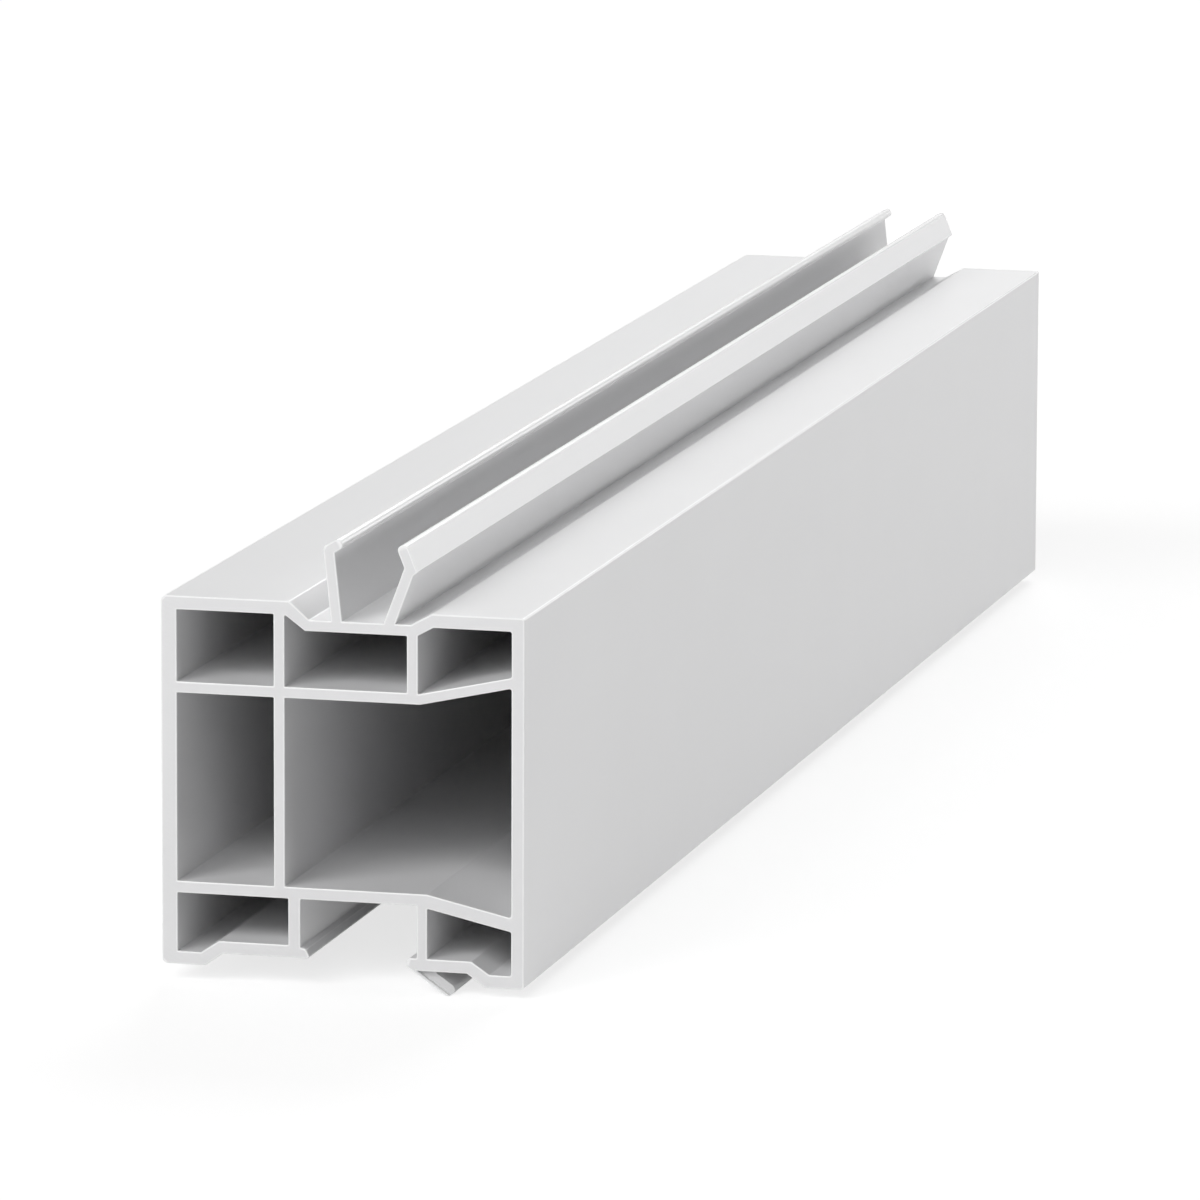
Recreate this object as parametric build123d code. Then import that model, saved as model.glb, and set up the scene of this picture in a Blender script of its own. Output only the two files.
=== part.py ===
from build123d import *
import os
from math import cos, radians, sin, tan

# Window extension profile: one hollow white uPVC extrusion, cut square at both ends.
# X runs across the width, Y along the length and Z up, with the clip prongs on top.
# The section is drawn with x from the left outer face and z from the left foot,
# then moved so that the origin is at the middle of its lowest line.
# All sizes are in millimetres and all angles in degrees.

# Overall sizes
length = 400.0
body_width = 60.0
body_height = 60.0          # left foot up to the left top face
side_step = 1.0             # the right half sits this much lower, at the top and at the feet

# Walls and webs
left_wall = 2.6
right_wall = 2.1
top_wall = 2.2
trough_wall = 1.8
web = 1.8
lower_web = 1.9
foot_wall = 2.1
flange_wall = 2.0

# Top face: a trough between the left and the right seat
left_seat_width = 21.3
left_ramp_run = 3.35
trough_depth = 2.9
right_seat_width = 15.2
right_ramp_run = 3.45
left_ramp_inset = 0.75      # inner corner short of the ramp's foot
right_ramp_inset = 0.25     # inner corner past the ramp's head

# Inner webs
left_web_inset = 0.8        # right face of the left upright web, short of the left seat's edge
right_web_inset = 0.65      # left face of the right upright web, short of the right ramp's foot
upper_web_depth = 13.9      # left top face down to the top of the upper level web
lower_web_z = 11.7          # underside of the lower level web, the groove's ceiling
brace_angle = 12.5          # the level webs turn by this much to reach the right wall
upper_brace_start = 0.4     # past the right upright web
upper_brace = 1.7
lower_brace = 2.25

# Feet
left_foot_width = 7.2
right_foot_width = 6.35
foot_ramp_run = 3.0
flange_rise = 2.1           # flange underside above its foot
foot_ramp_inset = 0.7       # inner ramp beside the outer one

# Clip groove, open downwards
groove_x = 23.05            # left wall of the groove
groove_width = 19.3
left_leg = 2.0
right_leg = 1.7
catch_reach = 1.65          # the left leg's catch stands this far into the mouth
catch_slope_run = 0.7
catch_slope_rise = 1.4
catch_rise = 1.7

# Barb and sealing lip on the right leg
barb_rise = 2.0             # top of the barb above the right flange's underside
barb_radius = 0.85
lip_angle = 34.8            # below the level, pointing to the right
lip_thickness = 1.8
lip_length = 4.765          # along its upper face, from the flange to its end
lip_root = 0.725            # its upper face meets the flange this far past the right leg
lip_skin = 0.4              # outer skin that runs out to the saw cuts
lip_setback = 1.0           # the rest of the lip stops this far short of each cut

# Left prong: a leaning bar with a head turned inwards
prong_thickness = 1.8
left_prong_x = 28.2         # outer face where it leaves the trough
left_prong_lean = 6.2
left_prong_height = 11.9    # trough up to the outer corner of the head
left_head_angle = 31.0
left_head_length = 3.05
left_head_thickness = 1.7

# Right prong: a bar that leans out to an elbow, with a head that turns back
right_prong_x = 38.8        # outer face where it leaves the trough
right_prong_lean = 20.5
right_shaft_length = 8.45
nose_angle = 38.0
nose_length = 0.9
right_head_lean = 22.0
right_head_length = 4.9

# Roundings
left_edge_radius = 0.9
right_edge_radius = 0.4
kink_radius = 0.5
root_radius = 0.25
chamber_radius = 0.2
right_chamber_radius = 0.35
nose_radius = 0.3
head_corner_radius = 0.9
tip_share = 0.94            # a tip's rounding over half its thickness

# Levels and faces worked out from the sizes above
left_inner_x = left_wall
right_inner_x = body_width - right_wall
right_height = body_height - side_step
left_ceiling_z = body_height - top_wall
right_ceiling_z = right_height - top_wall
trough_z = body_height - trough_depth
trough_ceiling_z = trough_z - trough_wall
trough_left_x = left_seat_width + left_ramp_run
right_seat_x = body_width - right_seat_width
trough_right_x = right_seat_x - right_ramp_run
left_web_right_x = left_seat_width - left_web_inset
left_web_x = left_web_right_x - web
right_web_x = trough_right_x - right_web_inset
right_web_right_x = right_web_x + web
upper_web_top_z = body_height - upper_web_depth
upper_web_z = upper_web_top_z - web
lower_web_top_z = lower_web_z + lower_web
groove_right_x = groove_x + groove_width
left_leg_x = groove_x - left_leg
right_leg_right_x = groove_right_x + right_leg
flange_floor_z = flange_rise + flange_wall
right_flange_z = flange_rise - side_step
barb_z = right_flange_z + barb_rise
left_foot_ramp_end_x = left_foot_width + foot_ramp_run
right_foot_x = body_width - right_foot_width
right_foot_ramp_end_x = right_foot_x - foot_ramp_run


def move(point, angle, distance):
    """The point at a distance from another, at an angle above the level."""
    return (point[0] + distance * cos(radians(angle)), point[1] + distance * sin(radians(angle)))


def meet(point_a, angle_a, point_b, angle_b):
    """The point where two lines cross, each given by a point and an angle above the level."""
    ax, az = cos(radians(angle_a)), sin(radians(angle_a))
    bx, bz = cos(radians(angle_b)), sin(radians(angle_b))
    dx, dz = point_b[0] - point_a[0], point_b[1] - point_a[1]
    distance = (dx * bz - dz * bx) / (ax * bz - az * bx)
    return move(point_a, angle_a, distance)


def rounded_face(corners):
    """A flat face from corners, each a point with the radius of its rounding."""
    points = [point for point, radius in corners]
    radii = [radius for point, radius in corners]
    return make_face(FilletPolyline(*points, radius=radii, close=True))


def left_underside():
    """Left foot, its ramp, the flange and the catch at the groove's mouth."""
    catch_x = groove_x + catch_reach
    return [
        ((0, 0), left_edge_radius),
        ((left_foot_width, 0), kink_radius),
        ((left_foot_ramp_end_x, flange_rise), kink_radius),
        ((catch_x, flange_rise), nose_radius),
        ((catch_x - catch_slope_run, flange_rise + catch_slope_rise), nose_radius),
        ((groove_x, flange_rise + catch_rise), root_radius),
    ]


def groove_and_lip():
    """Groove walls, the barb on the right leg and the sealing lip that runs out of it."""
    lip_start = (right_leg_right_x + lip_root, right_flange_z)
    inner_end = move(lip_start, -lip_angle, lip_length)
    outer_end = move(inner_end, -lip_angle - 90, lip_thickness)
    barb_point = meet(outer_end, -lip_angle, (groove_x, barb_z), 0)
    tip_radius = tip_share * lip_thickness / 2
    return [
        ((groove_x, lower_web_z), root_radius),
        ((groove_right_x, lower_web_z), root_radius),
        ((groove_right_x, barb_z), root_radius),
        (barb_point, barb_radius),
        (outer_end, tip_radius),
        (inner_end, tip_radius),
        (lip_start, root_radius),
    ]


def lip_pocket():
    """What is missing from the section at each end: the lip above its skin, under the flange."""
    lip_end = move((right_leg_right_x + lip_root, right_flange_z), -lip_angle, lip_length)
    skin_end = move(lip_end, -lip_angle - 90, lip_thickness - lip_skin)
    pocket_corner = meet(skin_end, -lip_angle, (0, right_flange_z), 0)
    lower_end = move(skin_end, -lip_angle, lip_thickness)
    upper_end = move(lower_end, 90 - lip_angle, lip_thickness)
    flange_end = meet(upper_end, -lip_angle, (0, right_flange_z), 0)
    return make_face(Polyline(pocket_corner, lower_end, upper_end, flange_end, close=True))


def right_outside():
    """Right foot, right side and the seat down to the trough."""
    return [
        ((right_foot_ramp_end_x, right_flange_z), kink_radius),
        ((right_foot_x, -side_step), kink_radius),
        ((body_width, -side_step), right_edge_radius),
        ((body_width, right_height), right_edge_radius),
        ((right_seat_x, right_height), kink_radius),
        ((trough_right_x, trough_z), kink_radius),
    ]


def right_prong():
    """Right prong from its outer root, round the elbow and the head, to its inner root."""
    outer_root = (right_prong_x, trough_z)
    shaft_angle = 90 - right_prong_lean
    head_angle = 90 + right_head_lean
    elbow = move(outer_root, shaft_angle, right_shaft_length)
    nose = move(elbow, nose_angle, nose_length)
    outer_end = move(nose, head_angle, right_head_length)
    inner_end = move(outer_end, head_angle + 90, prong_thickness)
    inner_root = (right_prong_x - prong_thickness / cos(radians(right_prong_lean)), trough_z)
    inner_elbow = meet(inner_root, shaft_angle, inner_end, head_angle)
    tip_radius = tip_share * prong_thickness / 2
    return [
        (outer_root, root_radius),
        (elbow, root_radius),
        (nose, nose_radius),
        (outer_end, tip_radius),
        (inner_end, tip_radius),
        (inner_elbow, kink_radius),
        (inner_root, root_radius),
    ]


def left_prong():
    """Left prong from its inner root, round the inturned head, to its outer root."""
    outer_root = (left_prong_x, trough_z)
    inner_root = (left_prong_x + prong_thickness / cos(radians(left_prong_lean)), trough_z)
    shaft_angle = 90 + left_prong_lean
    head_corner = move(outer_root, shaft_angle, left_prong_height / cos(radians(left_prong_lean)))
    upper_end = move(head_corner, left_head_angle, left_head_length)
    lower_end = move(upper_end, left_head_angle - 90, left_head_thickness)
    inner_corner = meet(inner_root, shaft_angle, lower_end, left_head_angle)
    tip_radius = tip_share * left_head_thickness / 2
    return [
        (inner_root, root_radius),
        (inner_corner, root_radius),
        (lower_end, tip_radius),
        (upper_end, tip_radius),
        (head_corner, head_corner_radius),
        (outer_root, root_radius),
    ]


def left_top():
    """Trough up to the left seat and its outer edge."""
    return [
        ((trough_left_x, trough_z), kink_radius),
        ((left_seat_width, body_height), kink_radius),
        ((0, body_height), left_edge_radius),
    ]


def upper_brace_under(x):
    """Underside of the upper brace at x."""
    return upper_web_z + (x - right_web_right_x - upper_brace_start) * tan(radians(brace_angle))


def upper_brace_top(x):
    """Top of the upper brace at x."""
    return upper_brace_under(x) + upper_brace / cos(radians(brace_angle))


def lower_brace_top(x):
    """Top of the lower brace at x."""
    return lower_web_top_z - (x - right_leg_right_x) * tan(radians(brace_angle))


def lower_brace_under(x):
    """Underside of the lower brace at x."""
    return lower_brace_top(x) - lower_brace / cos(radians(brace_angle))


def top_chambers():
    """The three chambers between the top wall and the upper level web."""
    left = [
        ((left_inner_x, upper_web_top_z), chamber_radius),
        ((left_web_x, upper_web_top_z), chamber_radius),
        ((left_web_x, left_ceiling_z), chamber_radius),
        ((left_inner_x, left_ceiling_z), chamber_radius),
    ]
    middle = [
        ((left_web_right_x, upper_web_top_z), chamber_radius),
        ((right_web_x, upper_web_top_z), chamber_radius),
        ((right_web_x, trough_ceiling_z), chamber_radius),
        ((trough_left_x - left_ramp_inset, trough_ceiling_z), kink_radius),
        ((left_web_right_x, left_ceiling_z), chamber_radius),
    ]
    ramp_head_x = right_seat_x + right_ramp_inset
    ramp_slope = (right_height - trough_z) / right_ramp_run
    ramp_foot_z = right_ceiling_z - (ramp_head_x - right_web_right_x) * ramp_slope
    right = [
        ((right_web_right_x, upper_brace_top(right_web_right_x)), chamber_radius),
        ((right_inner_x, upper_brace_top(right_inner_x)), right_chamber_radius),
        ((right_inner_x, right_ceiling_z), right_chamber_radius),
        ((ramp_head_x, right_ceiling_z), kink_radius),
        ((right_web_right_x, ramp_foot_z), chamber_radius),
    ]
    return [left, middle, right]


def middle_chambers():
    """The narrow left chamber and the large main chamber."""
    upper_turn_x = right_web_right_x + upper_brace_start
    left = [
        ((left_inner_x, lower_web_top_z), chamber_radius),
        ((left_web_x, lower_web_top_z), chamber_radius),
        ((left_web_x, upper_web_z), chamber_radius),
        ((left_inner_x, upper_web_z), chamber_radius),
    ]
    main = [
        ((left_web_right_x, lower_web_top_z), chamber_radius),
        ((right_leg_right_x, lower_web_top_z), kink_radius),
        ((right_inner_x, lower_brace_top(right_inner_x)), right_chamber_radius),
        ((right_inner_x, upper_brace_under(right_inner_x)), right_chamber_radius),
        ((upper_turn_x, upper_web_z), kink_radius),
        ((left_web_right_x, upper_web_z), chamber_radius),
    ]
    return [left, main]


def bottom_chambers():
    """The two chambers beside the clip groove, with floors that step down over the feet."""
    left = [
        ((left_inner_x, foot_wall), chamber_radius),
        ((left_foot_width - foot_ramp_inset, foot_wall), kink_radius),
        ((left_foot_ramp_end_x - foot_ramp_inset, flange_floor_z), kink_radius),
        ((left_leg_x, flange_floor_z), chamber_radius),
        ((left_leg_x, lower_web_z), chamber_radius),
        ((left_inner_x, lower_web_z), chamber_radius),
    ]
    right = [
        ((right_leg_right_x, flange_floor_z - side_step), chamber_radius),
        ((right_foot_ramp_end_x + foot_ramp_inset, flange_floor_z - side_step), kink_radius),
        ((right_foot_x + foot_ramp_inset, foot_wall - side_step), kink_radius),
        ((right_inner_x, foot_wall - side_step), right_chamber_radius),
        ((right_inner_x, lower_brace_under(right_inner_x)), right_chamber_radius),
        ((right_leg_right_x, lower_brace_under(right_leg_right_x)), chamber_radius),
    ]
    return [left, right]


def profile_section():
    """The whole cross-section: the outline with its prongs, less the seven chambers."""
    outline = (
        left_underside()
        + groove_and_lip()
        + right_outside()
        + right_prong()
        + left_prong()
        + left_top()
    )
    section = rounded_face(outline)
    for chamber in top_chambers() + middle_chambers() + bottom_chambers():
        section -= rounded_face(chamber)
    return section


section = profile_section()
lowest_z = section.bounding_box().min.Y
to_origin = Pos(-body_width / 2, -lowest_z)
extension_profile = extrude(Plane.XZ * (to_origin * section), amount=length / 2, both=True)
end_pocket = extrude(Plane.XZ * (to_origin * lip_pocket()), amount=lip_setback)
extension_profile -= Pos(0, lip_setback - length / 2, 0) * end_pocket
extension_profile -= Pos(0, length / 2, 0) * end_pocket

os.makedirs("parts", exist_ok=True)
export_step(extension_profile, "parts/extension_profile.step")
print("section area", round(section.area, 2), "lowest line under the left foot", round(-lowest_z, 3))
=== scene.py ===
import logging
import math
from dataclasses import dataclass, field
from enum import Enum

import bpy
import numpy as np
from mathutils import Matrix, Vector
from mathutils.geometry import delaunay_2d_cdt


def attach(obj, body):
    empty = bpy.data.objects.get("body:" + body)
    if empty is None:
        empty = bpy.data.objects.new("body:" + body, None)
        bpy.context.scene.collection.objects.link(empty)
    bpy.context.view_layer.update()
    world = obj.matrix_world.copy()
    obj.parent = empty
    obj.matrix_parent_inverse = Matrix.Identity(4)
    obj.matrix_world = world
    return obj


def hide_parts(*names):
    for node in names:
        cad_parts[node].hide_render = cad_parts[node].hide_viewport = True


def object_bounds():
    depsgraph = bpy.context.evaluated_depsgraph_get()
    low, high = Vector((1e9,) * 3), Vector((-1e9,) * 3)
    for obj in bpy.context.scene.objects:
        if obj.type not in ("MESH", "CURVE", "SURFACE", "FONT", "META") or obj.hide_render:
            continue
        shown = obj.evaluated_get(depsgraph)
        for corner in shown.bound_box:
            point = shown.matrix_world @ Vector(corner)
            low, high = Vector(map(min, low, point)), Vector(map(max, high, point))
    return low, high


# Looks of a window extension profile: one hollow white uPVC extrusion, cut square at both ends.
# X runs across its width, Y along its length and Z up. Section sizes are in millimetres, with x
# from the left outer face and z from the left foot. Meshes, lamps and the camera are in metres.

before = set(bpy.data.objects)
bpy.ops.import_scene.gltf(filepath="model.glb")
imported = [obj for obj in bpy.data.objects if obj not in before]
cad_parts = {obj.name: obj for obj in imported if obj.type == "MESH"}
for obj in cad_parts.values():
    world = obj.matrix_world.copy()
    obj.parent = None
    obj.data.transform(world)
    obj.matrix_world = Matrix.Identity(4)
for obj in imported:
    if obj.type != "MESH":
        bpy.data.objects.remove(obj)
cad_low, cad_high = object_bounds()

MM = 0.001
NODE = "extension_profile"
ARC_POINTS = 9              # points on the rounding of each corner
TIP_STRAIGHT = 0.3          # a shorter straight side joins two roundings into one tip
LIP_TIP = 4                 # place of the lip's outer end among the corners of groove_and_lip
LIP_ROOT = 6                # place of the lip's root among them
SAME_POINT = 1e-9           # two points nearer than this are one
PAINTED_HIGHLIGHT_ATTRIBUTE = "painted_highlight"                 # vertex attribute: painted highlight, 1 on the broken edge round each cut, and on the long edges
MIX_A, MIX_B = 6, 7         # places of a Mix node's two colours
MIX_RESULT = 2              # place of the colour that it gives

Point = tuple[float, float]
Corner = tuple[Point, float]            # a point of an outline, with the radius that rounds it
Colour = tuple[float, float, float]
Feeds = dict[str | int, object]         # what feeds a node's inputs, by their names or places

log = logging.getLogger("extension_profile")


def move(point: Point, angle: float, distance: float) -> Point:
    """Goes a distance from a point.

    Args:
        point: where it starts.
        angle: direction above the level, in degrees.
        distance: how far it goes.

    Returns:
        The point that it reaches.
    """
    turn = math.radians(angle)
    return point[0] + distance * math.cos(turn), point[1] + distance * math.sin(turn)


def meet(point_a: Point, angle_a: float, point_b: Point, angle_b: float) -> Point:
    """Finds where two lines cross.

    Args:
        point_a: a point on the first line.
        angle_a: the first line's angle above the level, in degrees.
        point_b: a point on the second line.
        angle_b: the second line's angle above the level, in degrees.

    Returns:
        The point on both lines.
    """
    ax, az = move((0.0, 0.0), angle_a, 1.0)
    bx, bz = move((0.0, 0.0), angle_b, 1.0)
    dx, dz = point_b[0] - point_a[0], point_b[1] - point_a[1]
    return move(point_a, angle_a, (dx * bz - dz * bx) / (ax * bz - az * bx))


def cross(a: np.ndarray, b: np.ndarray) -> np.ndarray:
    """Gives the cross product of each row of a with the same row of b."""
    return a[:, 0] * b[:, 1] - a[:, 1] * b[:, 0]


def turn_between(a: np.ndarray, b: np.ndarray) -> np.ndarray:
    """Gives the angle from each row of a to the same row of b, in radians, positive to the left."""
    return np.arctan2(cross(a, b), (a * b).sum(1))


def ring(size: int) -> np.ndarray:
    """Gives the sides of a closed loop of points, each as the indices of its two ends."""
    return np.stack([np.arange(size), np.roll(np.arange(size), -1)], axis=1)


def rounded(corners: list[Corner]) -> np.ndarray:
    """Rounds each corner of a closed outline with an arc that is tangent to both its sides.

    With h half the angle between the two sides, the arc starts radius / tan(h) along each side,
    and its centre lies radius / sin(h) from the corner, on the line that halves the angle.

    Args:
        corners: each a point with the radius of its rounding.

    Returns:
        ARC_POINTS points for each corner, in order, as rows of x and z.
    """
    corner = np.array([point for point, _ in corners])
    radius = np.array([size for _, size in corners])[:, None]
    back = np.roll(corner, 1, axis=0) - corner
    ahead = np.roll(corner, -1, axis=0) - corner
    back /= np.linalg.norm(back, axis=1, keepdims=True)
    ahead /= np.linalg.norm(ahead, axis=1, keepdims=True)
    half = np.arccos(np.clip((back * ahead).sum(1), -1, 1))[:, None] / 2
    middle = (back + ahead) / np.linalg.norm(back + ahead, axis=1, keepdims=True)
    centre = corner + middle * radius / np.sin(half)
    first = corner + back * radius / np.tan(half) - centre
    last = corner + ahead * radius / np.tan(half) - centre
    angle = turn_between(first, last)[:, None] * np.linspace(0, 1, ARC_POINTS)
    cos, sin = np.cos(angle), np.sin(angle)
    x = centre[:, :1] + first[:, :1] * cos - first[:, 1:] * sin
    z = centre[:, 1:] + first[:, :1] * sin + first[:, 1:] * cos
    return np.stack([x.ravel(), z.ravel()], axis=1)


def long_edges(corners: list[Corner]) -> np.ndarray:
    """Works out how much painted highlight each point of a rounded outline gets on an outer edge.

    Over a corner's arc the value rises to its peak as the square root of a sine, and falls in the
    same way. The peak is the sine of the corner's turn, or 1 past a right angle, and 0 where the
    corner is an inner one. Two arcs with next to no straight side between them are one round tip:
    there the value stays at its peak from one arc to the other. A straight side is as long as the
    distance between its corners, less radius * tan(turn / 2) for each.

    Args:
        corners: the outline's corners, with the material on the left of the way it runs.

    Returns:
        A value from 0 to 1 for each of the points that the rounding of these corners gives.
    """
    corner = np.array([point for point, _ in corners])
    radius = np.array([size for _, size in corners])
    before = corner - np.roll(corner, 1, axis=0)
    after = np.roll(corner, -1, axis=0) - corner
    turn = turn_between(before, after)
    used = radius * np.tan(np.abs(turn) / 2)
    straight = np.linalg.norm(after, axis=1) - used - np.roll(used, -1)
    joined_after = (straight < TIP_STRAIGHT) & (turn > 0) & (np.roll(turn, -1) > 0)
    joined_before = np.roll(joined_after, 1)
    along = np.linspace(0, math.pi, ARC_POINTS)
    rise = np.sqrt(np.sin(np.minimum(along, math.pi / 2)))
    fall = rise[::-1]
    wave = np.where(joined_before[:, None], 1, rise) * np.where(joined_after[:, None], 1, fall)
    peak = np.sin(np.clip(turn, 0, math.pi / 2))
    return (peak[:, None] * wave).ravel()


def into_material(loop: np.ndarray) -> np.ndarray:
    """Works out how a loop's points move for its sides to step into the material by 1.

    The material is on the left of the way the loop runs. Each point moves along the sum of its two
    sides' unit normals, divided by 1 plus the cosine of the turn between them.

    Args:
        loop: rows of x and z.

    Returns:
        One step for each point.
    """
    side = np.roll(loop, -1, axis=0) - loop
    side /= np.linalg.norm(side, axis=1, keepdims=True)
    normal = np.stack([-side[:, 1], side[:, 0]], axis=1)
    before = np.roll(normal, 1, axis=0)
    return (normal + before) / (1 + (normal * before).sum(1, keepdims=True))


def filled(loops: list[np.ndarray]) -> np.ndarray:
    """Fills the area between loops with triangles.

    A constrained Delaunay mesh joins all the points. A triangle stays where a level line drawn
    from its middle crosses the loops an odd number of times.

    Args:
        loops: the outer loop and any holes, as rows of x and z.

    Returns:
        Rows of three indices into the loops' points taken together.
    """
    points = np.concatenate(loops)
    starts = np.cumsum([0] + [len(loop) for loop in loops[:-1]])
    sides = np.concatenate([ring(len(loop)) + start for loop, start in zip(loops, starts)])
    hull = 0
    _, _, faces, origins, _, _ = delaunay_2d_cdt(
        [Vector(point) for point in points.tolist()], sides.tolist(), [], hull, SAME_POINT, True
    )
    triangles = np.array([same[0] for same in origins])[np.array(faces)]
    middle = points[triangles].mean(axis=1)
    a, b = points[sides[:, 0]], points[sides[:, 1]]
    above_a = a[:, 1] > middle[:, 1:]
    above_b = b[:, 1] > middle[:, 1:]
    rise = np.where(b[:, 1] == a[:, 1], 1.0, b[:, 1] - a[:, 1])
    cross_x = a[:, 0] + (middle[:, 1:] - a[:, 1]) * (b[:, 0] - a[:, 0]) / rise
    crossings = ((above_a != above_b) & (cross_x > middle[:, :1])).sum(axis=1)
    triangles = triangles[crossings % 2 == 1]
    p, q, r = (points[triangles[:, k]] for k in range(3))
    area = cross(q - p, r - p)
    return np.where(area[:, None] > 0, triangles, triangles[:, ::-1])


@dataclass
class Section:
    """The cross-section of the profile, in millimetres and degrees.

    A name that ends in x is a place across the width, and one that ends in z is a level. For a
    web they are its left face and its underside.
    """

    # Outside and walls
    body_width: float = 60.0
    body_height: float = 60.0
    side_step: float = 1.0              # how far the right seat and foot are below the left ones
    left_wall: float = 2.6
    right_wall: float = 2.1
    top_wall: float = 2.2
    trough_wall: float = 1.8
    web: float = 1.8
    lower_web: float = 1.9
    foot_wall: float = 2.1
    flange_wall: float = 2.0

    # Seats, and the trough between them
    left_seat_width: float = 21.3
    left_ramp_run: float = 3.35
    trough_depth: float = 2.9
    right_seat_width: float = 15.2
    right_ramp_run: float = 3.45
    left_ramp_inset: float = 0.75       # from the ramp's foot to the bend in the ceiling under it
    right_ramp_inset: float = 0.25      # from the ramp's head to the bend in the ceiling under it

    # Webs, and the sloping braces at the right ends of the level ones
    left_web_inset: float = 0.8         # from the left seat's edge to the web's right face
    right_web_inset: float = 0.65       # from the right ramp's foot to the web's left face
    upper_web_depth: float = 13.9
    lower_web_z: float = 11.7
    brace_angle: float = 12.5
    upper_brace_start: float = 0.4
    upper_brace: float = 1.7
    lower_brace: float = 2.25

    # Feet and flanges
    left_foot_width: float = 7.2
    right_foot_width: float = 6.35
    foot_ramp_run: float = 3.0
    flange_rise: float = 2.1
    foot_ramp_inset: float = 0.7        # from a foot's edge to the bend in the floor above it

    # Clip groove and lip
    groove_x: float = 23.05
    groove_width: float = 19.3
    left_leg: float = 2.0
    right_leg: float = 1.7
    catch_reach: float = 1.65
    catch_slope_run: float = 0.7
    catch_slope_rise: float = 1.4
    catch_rise: float = 1.7
    barb_rise: float = 2.0
    barb_radius: float = 0.85
    lip_angle: float = 34.8
    lip_thickness: float = 1.8
    lip_length: float = 4.765
    lip_root: float = 0.725             # from the right leg to the lip's upper side
    lip_skin: float = 0.4               # thickness of the part that runs on to the cuts

    # Prongs
    prong_thickness: float = 1.8
    left_prong_x: float = 28.2          # where its outer face meets the trough
    left_prong_lean: float = 6.2
    left_prong_height: float = 11.9
    left_head_angle: float = 31.0
    left_head_length: float = 3.05
    left_head_thickness: float = 1.7
    right_prong_x: float = 38.8         # where its outer face meets the trough
    right_prong_lean: float = 20.5
    right_shaft_length: float = 8.45
    nose_angle: float = 38.0
    nose_length: float = 0.9
    right_head_lean: float = 22.0
    right_head_length: float = 4.9

    # Roundings
    left_edge_radius: float = 0.9
    right_edge_radius: float = 0.4
    kink_radius: float = 0.5
    root_radius: float = 0.25
    prong_root_radius: float = 0.08
    chamber_radius: float = 0.2
    right_chamber_radius: float = 0.35
    nose_radius: float = 0.3
    head_corner_radius: float = 0.9
    tip_share: float = 0.94             # how much of a round end's half thickness its radii have

    def __post_init__(self) -> None:
        """Works out the faces and levels that more than one stretch of the section has."""
        self.right_height = self.body_height - self.side_step
        self.right_inner_x = self.body_width - self.right_wall
        self.right_foot_x = self.body_width - self.right_foot_width
        self.right_flange_z = self.flange_rise - self.side_step
        self.right_seat_x = self.body_width - self.right_seat_width
        self.trough_z = self.body_height - self.trough_depth
        self.trough_left_x = self.left_seat_width + self.left_ramp_run
        self.trough_right_x = self.right_seat_x - self.right_ramp_run
        self.groove_right_x = self.groove_x + self.groove_width
        self.leg_right_x = self.groove_right_x + self.right_leg
        self.left_web_right_x = self.left_seat_width - self.left_web_inset
        self.left_web_x = self.left_web_right_x - self.web
        self.right_web_x = self.trough_right_x - self.right_web_inset
        self.right_web_right_x = self.right_web_x + self.web
        self.brace_start_x = self.right_web_right_x + self.upper_brace_start
        self.upper_web_top_z = self.body_height - self.upper_web_depth
        self.upper_web_z = self.upper_web_top_z - self.web
        self.lower_web_top_z = self.lower_web_z + self.lower_web

    def left_underside(self) -> list[Corner]:
        """Gives the left foot, its ramp, the flange and the catch at the groove's mouth.

        Returns:
            Corners with the material on the left, as for every stretch of the outline below.
        """
        catch_x = self.groove_x + self.catch_reach
        slope_end = (catch_x - self.catch_slope_run, self.flange_rise + self.catch_slope_rise)
        return [
            ((0.0, 0.0), self.left_edge_radius),
            ((self.left_foot_width, 0.0), self.kink_radius),
            ((self.left_foot_width + self.foot_ramp_run, self.flange_rise), self.kink_radius),
            ((catch_x, self.flange_rise), self.nose_radius),
            (slope_end, self.nose_radius),
            ((self.groove_x, self.flange_rise + self.catch_rise), self.root_radius),
        ]

    def groove_and_lip(self) -> list[Corner]:
        """Gives the groove's walls, the barb on its right leg and the sealing lip.

        Returns:
            Corners, with the lip's outer end at LIP_TIP and its root at LIP_ROOT.
        """
        lip_start = (self.leg_right_x + self.lip_root, self.right_flange_z)
        inner_end = move(lip_start, -self.lip_angle, self.lip_length)
        outer_end = move(inner_end, -self.lip_angle - 90, self.lip_thickness)
        barb_z = self.right_flange_z + self.barb_rise
        barb_point = meet(outer_end, -self.lip_angle, (self.groove_x, barb_z), 0)
        tip_radius = self.tip_share * self.lip_thickness / 2
        return [
            ((self.groove_x, self.lower_web_z), self.root_radius),
            ((self.groove_right_x, self.lower_web_z), self.root_radius),
            ((self.groove_right_x, barb_z), self.root_radius),
            (barb_point, self.barb_radius),
            (outer_end, tip_radius),
            (inner_end, tip_radius),
            (lip_start, self.root_radius),
        ]

    def right_outside(self) -> list[Corner]:
        """Gives the right foot, the right side and the seat down to the trough.

        Returns:
            Corners.
        """
        return [
            ((self.right_foot_x - self.foot_ramp_run, self.right_flange_z), self.kink_radius),
            ((self.right_foot_x, -self.side_step), self.kink_radius),
            ((self.body_width, -self.side_step), self.right_edge_radius),
            ((self.body_width, self.right_height), self.right_edge_radius),
            ((self.right_seat_x, self.right_height), self.kink_radius),
            ((self.trough_right_x, self.trough_z), self.kink_radius),
        ]

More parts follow.
